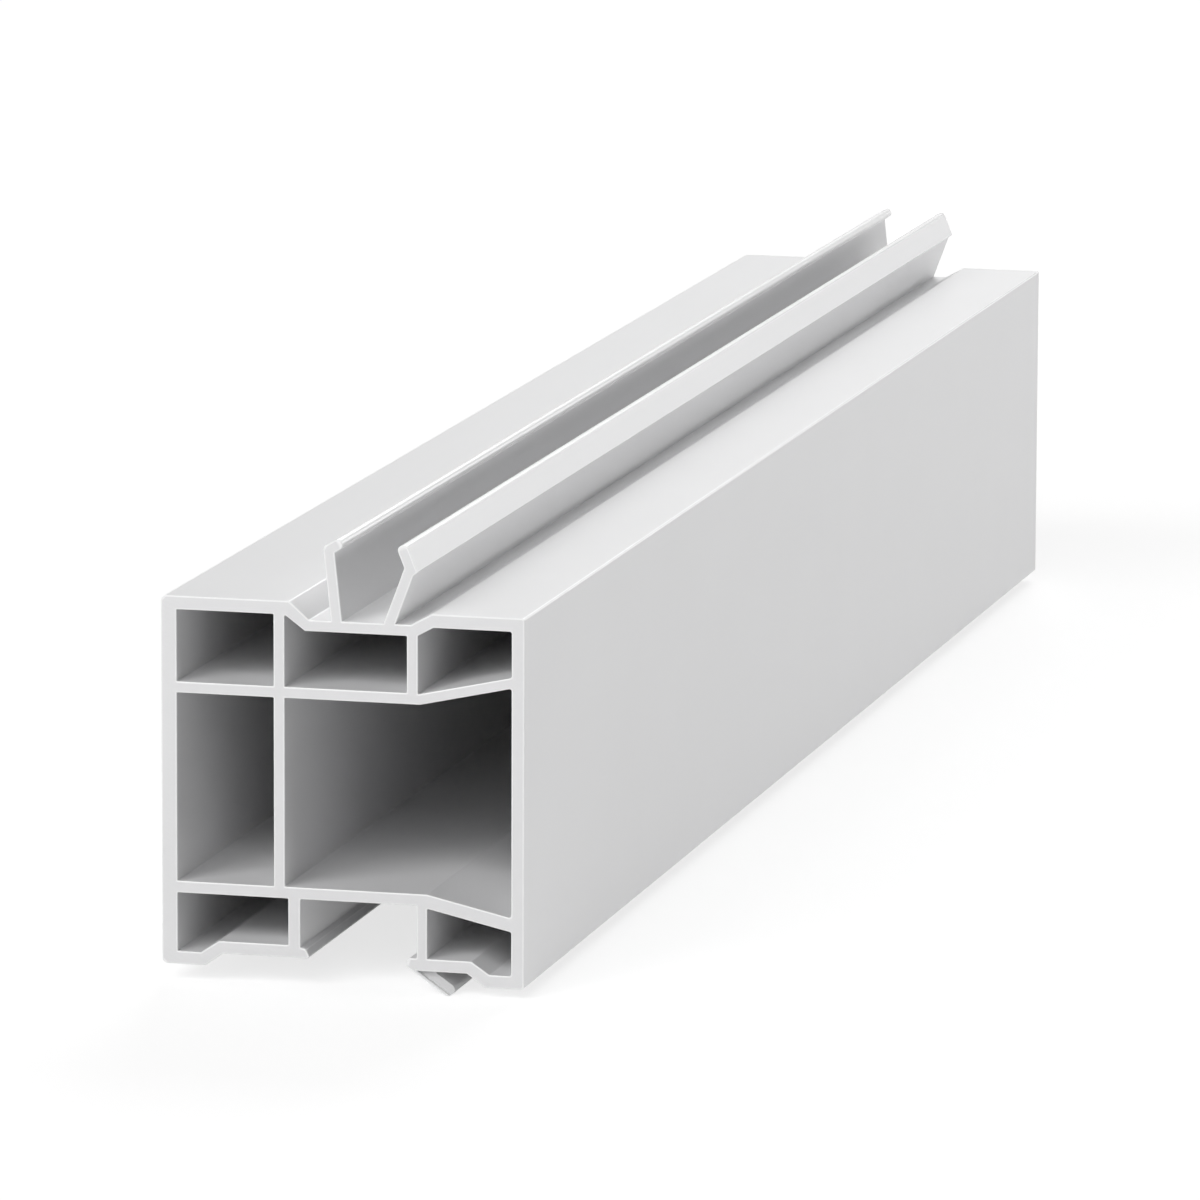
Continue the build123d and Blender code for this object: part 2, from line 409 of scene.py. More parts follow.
    def right_prong(self) -> list[Corner]:
        """Gives the right prong: out to its elbow, round the head and back to the trough.

        Returns:
            Corners.
        """
        outer_root = (self.right_prong_x, self.trough_z)
        shaft_angle = 90 - self.right_prong_lean
        head_angle = 90 + self.right_head_lean
        elbow = move(outer_root, shaft_angle, self.right_shaft_length)
        nose = move(elbow, self.nose_angle, self.nose_length)
        outer_end = move(nose, head_angle, self.right_head_length)
        inner_end = move(outer_end, head_angle + 90, self.prong_thickness)
        across = self.prong_thickness / math.cos(math.radians(self.right_prong_lean))
        inner_root = (self.right_prong_x - across, self.trough_z)
        inner_elbow = meet(inner_root, shaft_angle, inner_end, head_angle)
        tip_radius = self.tip_share * self.prong_thickness / 2
        return [
            (outer_root, self.prong_root_radius),
            (elbow, self.root_radius),
            (nose, self.nose_radius),
            (outer_end, tip_radius),
            (inner_end, tip_radius),
            (inner_elbow, self.kink_radius),
            (inner_root, self.prong_root_radius),
        ]

    def left_prong(self) -> list[Corner]:
        """Gives the left prong: its inner face, round the inturned head and down outside.

        Returns:
            Corners.
        """
        upright = math.cos(math.radians(self.left_prong_lean))
        outer_root = (self.left_prong_x, self.trough_z)
        inner_root = (self.left_prong_x + self.prong_thickness / upright, self.trough_z)
        shaft_angle = 90 + self.left_prong_lean
        head_corner = move(outer_root, shaft_angle, self.left_prong_height / upright)
        upper_end = move(head_corner, self.left_head_angle, self.left_head_length)
        lower_end = move(upper_end, self.left_head_angle - 90, self.left_head_thickness)
        inner_corner = meet(inner_root, shaft_angle, lower_end, self.left_head_angle)
        tip_radius = self.tip_share * self.left_head_thickness / 2
        return [
            (inner_root, self.prong_root_radius),
            (inner_corner, self.root_radius),
            (lower_end, tip_radius),
            (upper_end, tip_radius),
            (head_corner, self.head_corner_radius),
            (outer_root, self.prong_root_radius),
        ]

    def left_top(self) -> list[Corner]:
        """Gives the trough's left end, its ramp and the left seat.

        Returns:
            Corners.
        """
        return [
            ((self.trough_left_x, self.trough_z), self.kink_radius),
            ((self.left_seat_width, self.body_height), self.kink_radius),
            ((0.0, self.body_height), self.left_edge_radius),
        ]

    def outline(self) -> list[Corner]:
        """Gives the whole outer outline, with the material on the left of the way it runs."""
        below = self.left_underside() + self.groove_and_lip() + self.right_outside()
        return below + self.right_prong() + self.left_prong() + self.left_top()

    def brace_rise(self, run: float) -> float:
        """Gives how far a sloping web rises over a run."""
        return run * math.tan(math.radians(self.brace_angle))

    def brace_height(self, thickness: float) -> float:
        """Gives a sloping web's height where its thickness is cut upright."""
        return thickness / math.cos(math.radians(self.brace_angle))

    def left_box(self, floor: float, ceiling: float) -> list[Corner]:
        """Gives a plain chamber between the left wall and the left upright web.

        Args:
            floor: the level of its floor.
            ceiling: the level of its ceiling.

        Returns:
            Its corners.
        """
        near, far = self.left_wall, self.left_web_x
        places = ((near, floor), (far, floor), (far, ceiling), (near, ceiling))
        return [(place, self.chamber_radius) for place in places]

    def top_chambers(self) -> list[list[Corner]]:
        """Gives the three chambers between the top wall and the upper level web.

        Returns:
            The corners of each, from left to right.
        """
        small, large, kink = self.chamber_radius, self.right_chamber_radius, self.kink_radius
        floor = self.upper_web_top_z
        ceiling = self.body_height - self.top_wall
        right_ceiling = self.right_height - self.top_wall
        trough_ceiling = self.trough_z - self.trough_wall
        brace_top = self.upper_web_z + self.brace_height(self.upper_brace)
        near_rise = self.brace_rise(self.right_web_right_x - self.brace_start_x)
        far_rise = self.brace_rise(self.right_inner_x - self.brace_start_x)
        ramp_head_x = self.right_seat_x + self.right_ramp_inset
        ramp_slope = (self.right_height - self.trough_z) / self.right_ramp_run
        ramp_foot_z = right_ceiling - (ramp_head_x - self.right_web_right_x) * ramp_slope
        middle = [
            ((self.left_web_right_x, floor), small),
            ((self.right_web_x, floor), small),
            ((self.right_web_x, trough_ceiling), small),
            ((self.trough_left_x - self.left_ramp_inset, trough_ceiling), kink),
            ((self.left_web_right_x, ceiling), small),
        ]
        right = [
            ((self.right_web_right_x, brace_top + near_rise), small),
            ((self.right_inner_x, brace_top + far_rise), large),
            ((self.right_inner_x, right_ceiling), large),
            ((ramp_head_x, right_ceiling), kink),
            ((self.right_web_right_x, ramp_foot_z), small),
        ]
        return [self.left_box(floor, ceiling), middle, right]

    def middle_chambers(self) -> list[list[Corner]]:
        """Gives the narrow left chamber and the large main chamber.

        Returns:
            The corners of each.
        """
        small, large, kink = self.chamber_radius, self.right_chamber_radius, self.kink_radius
        floor, ceiling = self.lower_web_top_z, self.upper_web_z
        far_floor = floor - self.brace_rise(self.right_inner_x - self.leg_right_x)
        far_ceiling = ceiling + self.brace_rise(self.right_inner_x - self.brace_start_x)
        main = [
            ((self.left_web_right_x, floor), small),
            ((self.leg_right_x, floor), kink),
            ((self.right_inner_x, far_floor), large),
            ((self.right_inner_x, far_ceiling), large),
            ((self.brace_start_x, ceiling), kink),
            ((self.left_web_right_x, ceiling), small),
        ]
        return [self.left_box(floor, ceiling), main]

    def bottom_chambers(self) -> list[list[Corner]]:
        """Gives the two chambers beside the groove, with floors that step down over the feet.

        Returns:
            The corners of each.
        """
        small, large, kink = self.chamber_radius, self.right_chamber_radius, self.kink_radius
        flange_floor = self.flange_rise + self.flange_wall
        left_leg_x = self.groove_x - self.left_leg
        left_ramp_x = self.left_foot_width - self.foot_ramp_inset
        right_ramp_x = self.right_foot_x + self.foot_ramp_inset
        brace_under = self.lower_web_top_z - self.brace_height(self.lower_brace)
        far_under = brace_under - self.brace_rise(self.right_inner_x - self.leg_right_x)
        left = [
            ((self.left_wall, self.foot_wall), small),
            ((left_ramp_x, self.foot_wall), kink),
            ((left_ramp_x + self.foot_ramp_run, flange_floor), kink),
            ((left_leg_x, flange_floor), small),
            ((left_leg_x, self.lower_web_z), small),
            ((self.left_wall, self.lower_web_z), small),
        ]
        right = [
            ((self.leg_right_x, flange_floor - self.side_step), small),
            ((right_ramp_x - self.foot_ramp_run, flange_floor - self.side_step), kink),
            ((right_ramp_x, self.foot_wall - self.side_step), kink),
            ((self.right_inner_x, self.foot_wall - self.side_step), large),
            ((self.right_inner_x, far_under), large),
            ((self.leg_right_x, brace_under), small),
        ]
        return [left, right]

    def chamber_loops(self) -> list[np.ndarray]:
        """Gives each chamber's rounded loop, turned round to keep the material on its left."""
        chambers = self.top_chambers() + self.middle_chambers() + self.bottom_chambers()
        return [rounded(chamber)[::-1] for chamber in chambers]


class Nodes:
    """The nodes of a material, a world or a node group, and the ways to add and join them."""

    def __init__(self, tree: bpy.types.ShaderNodeTree) -> None:
        """Takes the tree that the nodes go into."""
        self.tree = tree

    def feed(self, node: bpy.types.Node, feeds: Feeds) -> None:
        """Feeds a node's inputs.

        Args:
            node: the node.
            feeds: for each input, by name or place, the socket or the plain value that feeds it.
        """
        for key, value in feeds.items():
            if isinstance(value, bpy.types.NodeSocket):
                self.tree.links.new(value, node.inputs[key])
            else:
                node.inputs[key].default_value = value

    def add(self, kind: str, feeds: Feeds | None = None, **settings: object) -> bpy.types.Node:
        """Adds a node.

        Args:
            kind: the node's type, without the ShaderNode in front.
            feeds: what feeds its inputs.
            settings: properties to set on it.

        Returns:
            The new node.
        """
        node = self.tree.nodes.new("ShaderNode" + kind)
        for key, value in settings.items():
            setattr(node, key, value)
        self.feed(node, feeds or {})
        return node

    def math(self, operation: str, *values: object) -> bpy.types.NodeSocket:
        """Adds a Math node for sockets or numbers, and gives its result."""
        return self.add("Math", dict(enumerate(values)), operation=operation).outputs[0]


class NodeGroup(Nodes):
    """A shader node group with named inputs and outputs, which materials place as one node."""

    def __init__(self, name: str, inputs: tuple[str, ...], outputs: tuple[str, ...]) -> None:
        """Starts a group whose inputs and outputs are numbers.

        Args:
            name: the group's name.
            inputs: the names of its inputs.
            outputs: the names of its outputs.
        """
        super().__init__(bpy.data.node_groups.new(name, "ShaderNodeTree"))
        for way, sockets in (("INPUT", inputs), ("OUTPUT", outputs)):
            for socket in sockets:
                self.tree.interface.new_socket(name=socket, in_out=way, socket_type="NodeSocketFloat")
        self.given = self.tree.nodes.new("NodeGroupInput").outputs
        self.end = self.tree.nodes.new("NodeGroupOutput")

    def noises(self, place: bpy.types.NodeSocket, details: dict[str, float]) -> list[bpy.types.NodeSocket]:
        """Adds a noise for each of some inputs, which gives the noise's scale.

        Args:
            place: where the noises are read.
            details: for each such input, the noise's detail.

        Returns:
            The noises' values.
        """
        values = []
        for name, detail in details.items():
            feeds = {"Vector": place, "Scale": self.given[name], "Detail": detail}
            values.append(self.add("TexNoise", feeds).outputs["Fac"])
        return values


def die_line_group() -> bpy.types.ShaderNodeTree:
    """Builds the faint lines that the die leaves along an extrusion.

    Two noises are read at points whose place along the length counts for next to nothing, so
    each gives streaks that run the whole length: fine ones and broad ones. The height is their
    mix, and the tone is the height about its middle value.

    Returns:
        A group with inputs Fine and Broad, and outputs Height and Tone.
    """
    along_share, broad_share, middle_value = 0.004, 0.55, 0.5
    group = NodeGroup("die_lines", ("Fine", "Broad"), ("Height", "Tone"))
    place = group.add("SeparateXYZ", {0: group.add("TexCoord").outputs["Object"]}).outputs
    slow = group.math("MULTIPLY", place["Y"], along_share)
    stretched = group.add("CombineXYZ", {"X": place["X"], "Y": slow, "Z": place["Z"]}).outputs[0]
    fine, broad = group.noises(stretched, {"Fine": 2.0, "Broad": 3.0})
    mixed = group.add("Mix", {"Factor": broad_share, "A": fine, "B": broad}, data_type="FLOAT")
    height = mixed.outputs["Result"]
    group.feed(group.end, {"Height": height, "Tone": group.math("SUBTRACT", height, middle_value)})
    return group.tree


def cloud_group() -> bpy.types.ShaderNodeTree:
    """Builds the slow unevenness of a moulded or drawn plastic skin.

    The height is a fine noise, about a millimetre across, and the tone is a broad one about its
    middle value.

    Returns:
        A group with inputs Grain and Patch, and outputs Height and Tone.
    """
    middle_value = 0.5
    group = NodeGroup("plastic_cloud", ("Grain", "Patch"), ("Height", "Tone"))
    place = group.add("TexCoord").outputs["Object"]
    grain, patch = group.noises(place, {"Grain": 3.0, "Patch": 2.0})
    group.feed(group.end, {"Height": grain, "Tone": group.math("SUBTRACT", patch, middle_value)})
    return group.tree


@dataclass(frozen=True)
class Plastic:
    """A finish of the plastic, with its relief in metres."""

    name: str
    colour: Colour
    roughness: float
    rim_roughness: float
    tone: float                 # how far the colour goes up and down
    roughness_swing: float
    grain_depth: float          # depth of the skin's unevenness
    fine_lines: float           # die lines to a metre, and the broad ones among them
    broad_lines: float
    grain: float                # spots of the unevenness to a metre, and the broad patches
    patch: float
    line_depth: float = 4e-6    # depth of the die lines
    # painted highlight: the lighter colour on the broken edges and the long outer edges
    painted_highlight_colour: Colour = (0.985, 0.985, 0.985)
    saw_depth: float = 0.0      # depth of the saw's marks
    saw_scale: float = 420.0
    blade_offset: tuple[float, float, float] = (0.12, 0.0, 0.16)

    def saw_marks(self, nodes: Nodes) -> bpy.types.NodeSocket:
        """Adds the curved lines that a saw blade leaves on a cut.

        The lines are rings round the blade's middle, far below and to the left of the section,
        bent a little by a noise.

        Args:
            nodes: the material's nodes.

        Returns:
            The socket with the marks' height.
        """
        place = nodes.add("TexCoord").outputs["Object"]
        centred = nodes.add("Mapping", {"Vector": place, "Location": self.blade_offset}).outputs[0]
        flat = nodes.add("VectorMath", {0: centred, 1: (1.0, 0.0, 1.0)}, operation="MULTIPLY")
        bends = {"Distortion": 3.0, "Detail": 2.0, "Detail Scale": 0.4}
        feeds = {"Vector": flat.outputs[0], "Scale": self.saw_scale, **bends}
        return nodes.add("TexWave", feeds, wave_type="RINGS", rings_direction="SPHERICAL").outputs["Fac"]

    def material(
        self, lines: bpy.types.ShaderNodeTree, cloud: bpy.types.ShaderNodeTree
    ) -> bpy.types.Material:
        """Builds the material.

        The colour goes up and down with the die lines and the broad patches, and turns to a
        lighter colour, a painted highlight, on the broken edge and the long outer edges. The relief
        is the sum of the lines, the grain and any saw marks, each by its own depth.

        Args:
            lines: the group that gives the die lines.
            cloud: the group that gives the plastic's unevenness.

        Returns:
            The new material.
        """
        made = bpy.data.materials.new(self.name)
        made.use_nodes = True
        nodes = Nodes(made.node_tree)
        line_feeds = {"Fine": self.fine_lines, "Broad": self.broad_lines}
        line = nodes.add("Group", line_feeds, node_tree=lines).outputs
        uneven = nodes.add("Group", {"Grain": self.grain, "Patch": self.patch}, node_tree=cloud).outputs
        # Mask of the painted highlight, which lightens the colour and lowers the roughness
        painted_highlight = nodes.add("Attribute", attribute_name=PAINTED_HIGHLIGHT_ATTRIBUTE).outputs["Fac"]

        tones = nodes.math("ADD", line["Tone"], uneven["Tone"])
        bright = nodes.math("MULTIPLY_ADD", tones, self.tone, 1.0)
        plain = nodes.add("VectorMath", {0: self.colour, "Scale": bright}, operation="SCALE")
        colours = {"Factor": painted_highlight, MIX_A: plain.outputs[0], MIX_B: (*self.painted_highlight_colour, 1.0)}
        coloured = nodes.add("Mix", colours, data_type="RGBA")

        rough = nodes.math("MULTIPLY_ADD", line["Tone"], self.roughness_swing, self.roughness)
        rim_drop = nodes.math("MULTIPLY", painted_highlight, self.rim_roughness - self.roughness)

        line_height = nodes.math("MULTIPLY", line["Height"], self.line_depth)
        grain_height = nodes.math("MULTIPLY", uneven["Height"], self.grain_depth)
        height = nodes.math("ADD", line_height, grain_height)
        if self.saw_depth:
            saw_height = nodes.math("MULTIPLY", self.saw_marks(nodes), self.saw_depth)
            height = nodes.math("ADD", height, saw_height)
        bump = nodes.add("Bump", {"Distance": 1.0, "Height": height})
        feeds = {
            "Base Color": coloured.outputs[MIX_RESULT],
            "Roughness": nodes.math("ADD", rough, rim_drop),
            "Normal": bump.outputs[0],
        }
        nodes.feed(made.node_tree.nodes["Principled BSDF"], feeds)
        return made


class Finish(Enum):
    """The profile's finishes, in the order of its list of materials."""

    DRAWN = Plastic(
        name="drawn_white_upvc",
        colour=(0.82, 0.82, 0.826),
        roughness=0.38,
        rim_roughness=0.26,
        tone=0.03,
        roughness_swing=0.12,
        line_depth=2.5e-6,
        grain_depth=6e-6,
        fine_lines=2600.0,
        broad_lines=240.0,
        grain=900.0,
        patch=35.0,
    )
    SAWN = Plastic(
        name="sawn_white_upvc",
        colour=(0.83, 0.83, 0.836),
        roughness=0.52,
        rim_roughness=0.3,
        tone=0.03,
        roughness_swing=0.1,
        grain_depth=8e-6,
        fine_lines=3200.0,
        broad_lines=300.0,
        grain=1200.0,
        patch=50.0,
        saw_depth=6e-6,
    )
    # Painted shade: the lip's grey, darker than the body's white, paints the shade that falls on it under
    # the flange, and its painted highlight is dimmer.
    LIP = Plastic(
        name="lip_upvc_painted_shade",
        colour=(0.69, 0.69, 0.695),
        painted_highlight_colour=(0.85, 0.85, 0.85),
        roughness=0.5,
        rim_roughness=0.4,
        tone=0.02,
        roughness_swing=0.08,
        grain_depth=1e-5,
        fine_lines=1800.0,
        broad_lines=200.0,
        grain=1500.0,
        patch=60.0,
    )

    @property
    def place(self) -> int:
        """Place in the list of materials."""
        return list(Finish).index(self)


def in_scene(name: str, data: bpy.types.ID) -> bpy.types.Object:
    """Makes an object of a mesh, a lamp or a camera and puts it in the scene.

    Args:
        name: the object's name.
        data: what it shows.

    Returns:
        The new object, at the origin.
    """
    made = bpy.data.objects.new(name, data)
    bpy.context.scene.collection.objects.link(made)
    return made


def facing(heading: float, dip: float, roll: float = 0.0) -> Matrix:
    """Turns a lamp or a camera, which looks along its own -Z with its own +Y up.

    Its way forward becomes (sin h cos d, cos h cos d, -sin d) for a heading h and a dip d, with
    its right level before the roll turns it about the way forward.

    Args:
        heading: degrees to the right of the profile's length.
        dip: degrees below the level.
        roll: degrees to the left about the way forward.

    Returns:
        The turn.
    """
    turns = ((-heading, "Z"), (90 - dip, "X"), (roll, "Z"))
    aside, raised, rolled = (Matrix.Rotation(math.radians(angle), 3, axis) for angle, axis in turns)
    return aside @ raised @ rolled


@dataclass
class Surface:
    """The points and faces of a mesh while it is put together."""

    points: list[np.ndarray] = field(default_factory=list)
    painted_highlights: list[np.ndarray] = field(default_factory=list)
    faces: list[np.ndarray] = field(default_factory=list)
    finishes: list[np.ndarray] = field(default_factory=list)

    def add_points(self, points: np.ndarray, painted_highlight: np.ndarray) -> int:
        """Adds points.

        Args:
            points: rows of x, y and z in metres.
            painted_highlight: how much painted highlight each of them gets.

        Returns:
            The index of the first one.
        """
        start = sum(len(block) for block in self.points)
        self.points.append(points)
        self.painted_highlights.append(painted_highlight)
        return start

    def add_faces(self, faces: np.ndarray, finish: Finish) -> None:
        """Adds faces, as rows of indices, with their finish."""
        self.faces.append(faces)
        self.finishes.append(np.full(len(faces), finish.place))

    def mesh(self, name: str, sharp_angle: float) -> bpy.types.Mesh:
        """Makes the mesh.

        Args:
            name: its name.
            sharp_angle: the angle in degrees past which an edge is sharp.

        Returns:
            The new mesh.
        """
        made = bpy.data.meshes.new(name)
        rows = [row for block in self.faces for row in block.tolist()]
        made.from_pydata(np.concatenate(self.points).tolist(), [], rows)
        made.polygons.foreach_set("material_index", np.concatenate(self.finishes).astype(np.int32))
        made.polygons.foreach_set("use_smooth", np.ones(len(rows), bool))
        # How much painted highlight each point gets, for the materials to read
        painted_highlight = made.attributes.new(PAINTED_HIGHLIGHT_ATTRIBUTE, "FLOAT", "POINT")
        painted_highlight.data.foreach_set("value", np.concatenate(self.painted_highlights).astype(np.float32))
        made.validate()
        made.set_sharp_from_angle(angle=math.radians(sharp_angle))
        return made


@dataclass(frozen=True)
class CutOutline:
    """The outer outline near a cut, where the lip stops short and only its skin runs on."""

    rows: np.ndarray            # x and z of each point, with the material on the left
    edges: np.ndarray           # how much painted highlight each point gets on an outer edge
    skin_row: int               # the row of the skin's end, which the pocket's root follows
    lip_rows: np.ndarray        # rows that the whole lip has instead of the pocket's root


@dataclass
class ExtendedProfile:
    """The extruded profile: its section carried along the length, with both ends cut square."""

    section: Section = field(default_factory=Section)
    broken_edge: float = 0.28       # millimetres that each cut's edges are drawn in by
    edge_depth: float = 0.12        # millimetres behind the cut where the full section starts
    edge_steps: int = 4             # faces across a broken edge
    lip_setback: float = 1.0        # millimetres from each cut to the end of the lip
    sharp_angle: float = 32.0       # degrees past which an edge is sharp
    area_weight: int = 100          # how much a face's size counts in the normals round it

    def __post_init__(self) -> None:
        """Works out the section's loops, how they are drawn in, and the stations."""
        self.outer = self.cut_back_outline()
        self.loops = [self.outer.rows] + self.section.chamber_loops()
        self.steps = [self.outer_steps()] + [into_material(loop) for loop in self.loops[1:]]
        self.places, self.insets = self.stations()
        self.lip_stations = (len(self.places) // 2 - 1, len(self.places) // 2)
        lowest = min(self.outer.rows[:, 1].min(), self.outer.lip_rows[:, 1].min())
        self.origin = (cad_low.x, cad_low.z - lowest * MM)

    def cut_back_outline(self) -> CutOutline:
        """Works out the outline near a cut.

        The skin ends where the outline of the lip's tip is as high above its lower face as the
        skin is thick. From there the outline goes back along the skin to the flange. Rows in the
        upper half of the skin are left out, because there the outline would fold over itself once
        it is drawn in.

        Returns:
            The outline, with what the whole lip has in place of its pocket.
        """
        section = self.section
        corners = section.outline()
        rows, edge = rounded(corners), long_edges(corners)
        tip_corner = len(section.left_underside()) + LIP_TIP
        root_corner = len(section.left_underside()) + LIP_ROOT
        first_tip, flange_row = tip_corner * ARC_POINTS, (root_corner + 1) * ARC_POINTS - 1
        tip = rows[first_tip : first_tip + ARC_POINTS]
        slope = math.radians(section.lip_angle)
        above = (tip - corners[tip_corner][0]) @ np.array([math.sin(slope), math.cos(slope)])
        skin_end = np.array([np.interp(section.lip_skin, above, tip[:, k]) for k in range(2)])
        skin_row = first_tip + int((above < section.lip_skin / 2).sum())
        after_skin = first_tip + int((above <= section.lip_skin).sum())
        pocket = meet(tuple(skin_end), -section.lip_angle, (0.0, section.right_flange_z), 0)
        return CutOutline(
            rows=np.concatenate([rows[:skin_row], [skin_end], [pocket], rows[flange_row:]]),
            edges=np.concatenate([edge[:skin_row], [0.0, 0.0], edge[flange_row:]]),
            skin_row=skin_row,
            lip_rows=rows[after_skin:flange_row],
        )

    def outer_steps(self) -> np.ndarray:
        """Works out how the outer loop is drawn in by 1 at a cut.

        The lip's skin is thin, so its side in the pocket stays where it is: its tip slides back
        along that side by 1, and its root slides until it has risen by 1, as the flange does.

        Returns:
            One step for each point of the outer loop.
        """
        steps = into_material(self.outer.rows)
        slope = math.radians(self.section.lip_angle)
        steps[self.outer.skin_row] = (-math.cos(slope), math.sin(slope))
        steps[self.outer.skin_row + 1] = (-1 / math.tan(slope), 1.0)
        return steps

    def stations(self) -> tuple[np.ndarray, np.ndarray]:
        """Works out where the section is placed along the length, and how far it is drawn in.

        At each cut the edge is a quarter of an ellipse: at an angle t it is drawn in by 1 - sin(t)
        times the size of the broken edge, and lies 1 - cos(t) times its depth behind the cut. The
        last station from each cut is at the end of the lip.

        Returns:
            The places along Y in metres, and each one's inset in millimetres.
        """
        angle = np.linspace(0, math.pi / 2, self.edge_steps + 1)
        inset = self.broken_edge * (1 - np.sin(angle))
        depth = self.edge_depth * (1 - np.cos(angle)) * MM
        setback = self.lip_setback * MM
        front = np.append(cad_low.y + depth, cad_low.y + setback)
        back = np.append(cad_high.y - depth, cad_high.y - setback)[::-1]
        drawn_in = np.append(inset, 0.0)
        return np.concatenate([front, back]), np.concatenate([drawn_in, drawn_in[::-1]])

    def placed(self, section_points: np.ndarray, y: np.ndarray) -> np.ndarray:
        """Puts points of the section at their places along the length.

        Args:
            section_points: x and z in millimetres, in rows or in a grid of stations and points.
            y: the place along Y in metres, one for all or one for each station.

        Returns:
            Rows of x, y and z in metres.
        """
        x, z = (section_points[..., k] * MM + self.origin[k] for k in range(2))
        return np.stack([x, np.broadcast_to(y, x.shape), z], axis=-1).reshape(-1, 3)

    def add_loops(self, surface: Surface) -> list[int]:
        """Adds each loop as a grid of points, by its station and its place round the loop.

        A point lies at loop + step * inset, with the inset of its station.

        Args:
            surface: the mesh in the making.

        Returns:
            The index of each loop's first point.
        """
        # Painted highlight: full on the stations of each cut's broken edge, and along the outer loop's
        # long edges
        cut_edge_highlight = ((self.insets > 0) & (self.insets < self.broken_edge)).astype(float)
        starts = []
        for number, (loop, step) in enumerate(zip(self.loops, self.steps)):
            grid = self.placed(loop + step * self.insets[:, None, None], self.places[:, None])
            along = self.outer.edges if number == 0 else np.zeros(len(loop))
            painted_highlight = np.maximum(cut_edge_highlight[:, None], along).ravel()
            starts.append(surface.add_points(grid, painted_highlight))
        return starts

    def add_walls(self, surface: Surface, starts: list[int]) -> None:
        """Joins each loop's points from station to station, but for the pocket along the lip.

        Args:
            surface: the mesh in the making.
            starts: the index of each loop's first point.
        """
        station = np.arange(len(self.places) - 1)[:, None]
        pocket = slice(self.outer.skin_row, self.outer.skin_row + 2)
        for number, (loop, start) in enumerate(zip(self.loops, starts)):
            size = len(loop)
            here, after = (start + station * size + ends for ends in ring(size).T)
            quads = np.stack([here, here + size, after + size, after], axis=2)
            kept = np.ones(quads.shape[:2], bool)
            if number == 0:
                kept[self.lip_stations[0], pocket] = False
            surface.add_faces(quads[kept], Finish.DRAWN)

    def add_lip(self, surface: Surface) -> None:
        """Adds the lip's own strip between its two ends, and the face that closes each of them.

        Args:
            surface: the mesh in the making, whose first points are the outer loop's.
        """
        size, lip_size, skin_row = len(self.outer.rows), len(self.outer.lip_rows), self.outer.skin_row
        ends = []
        for station in self.lip_stations:
            rows = self.placed(self.outer.lip_rows, self.places[station])
            start = surface.add_points(rows, np.zeros(lip_size))
            skin_end = station * size + skin_row
            ends.append(np.concatenate([[skin_end], start + np.arange(lip_size), [skin_end + 2]]))
        front, back = ends
        surface.add_faces(np.stack([front[:-1], back[:-1], back[1:], front[1:]], axis=1), Finish.LIP)

        skin_end, root, flange = self.outer.rows[skin_row : skin_row + 3]
        fill = filled([np.concatenate([[skin_end], self.outer.lip_rows, [flange], [root]])])
        for end, faces in ((front, fill), (back, fill[:, ::-1])):
            surface.add_faces(np.append(end, end[0] + 1)[faces], Finish.LIP)

    def add_cuts(self, surface: Surface, starts: list[int]) -> None:
        """Fills the section between its loops at both cuts.

        Args:
            surface: the mesh in the making.
            starts: the index of each loop's first point.
        """
        fill = filled([loop + step * self.broken_edge for loop, step in zip(self.loops, self.steps)])
        for station, faces in ((0, fill), (len(self.places) - 1, fill[:, ::-1])):
            loops = zip(self.loops, starts)
            rows = [start + station * len(loop) + np.arange(len(loop)) for loop, start in loops]
            surface.add_faces(np.concatenate(rows)[faces], Finish.SAWN)

    def build(self) -> bpy.types.Object:
        """Builds the profile's mesh.

        Every loop is a surface of two parameters, the point round the loop and the station along
        the length. Near the cuts the outer loop has the lip's pocket, and between them the lip's
        own strip takes the place of the pocket's two sides.

        Returns:
            The new object, without materials.
        """
        surface = Surface()
        starts = self.add_loops(surface)
        self.add_walls(surface, starts)
        self.add_lip(surface)
        self.add_cuts(surface, starts)
        return in_scene("profile_skin", surface.mesh("profile_skin", self.sharp_angle))

    def dress(self, piece: bpy.types.Object) -> None:
        """Gives the profile its three finishes and evens its normals by the size of the faces.

        Args:
            piece: the profile's object.
        """
        lines, cloud = die_line_group(), cloud_group()
        for finish in Finish:
            piece.data.materials.append(finish.value.material(lines, cloud))
        even = piece.modifiers.new("even_normals", "WEIGHTED_NORMAL")
        even.keep_sharp = True
        even.weight = self.area_weight


def seen_directly(nodes: Nodes) -> bpy.types.NodeSocket:
    """Tells the light paths that show the white surroundings from those that only light the object.

    The value is the sum of Is Camera Ray, Is Glossy Ray and Is Transmission Ray, held to 1.

    Args:
        nodes: the nodes of the floor's material or of the world.

    Returns:
        A socket that is 1 for what is seen directly, in gloss or through glass, and 0 otherwise.
    """
    path = nodes.add("LightPath").outputs
    gloss = nodes.math("ADD", path["Is Camera Ray"], path["Is Glossy Ray"])
    every = nodes.add("Math", {0: gloss, 1: path["Is Transmission Ray"]}, use_clamp=True)
    return every.outputs[0]


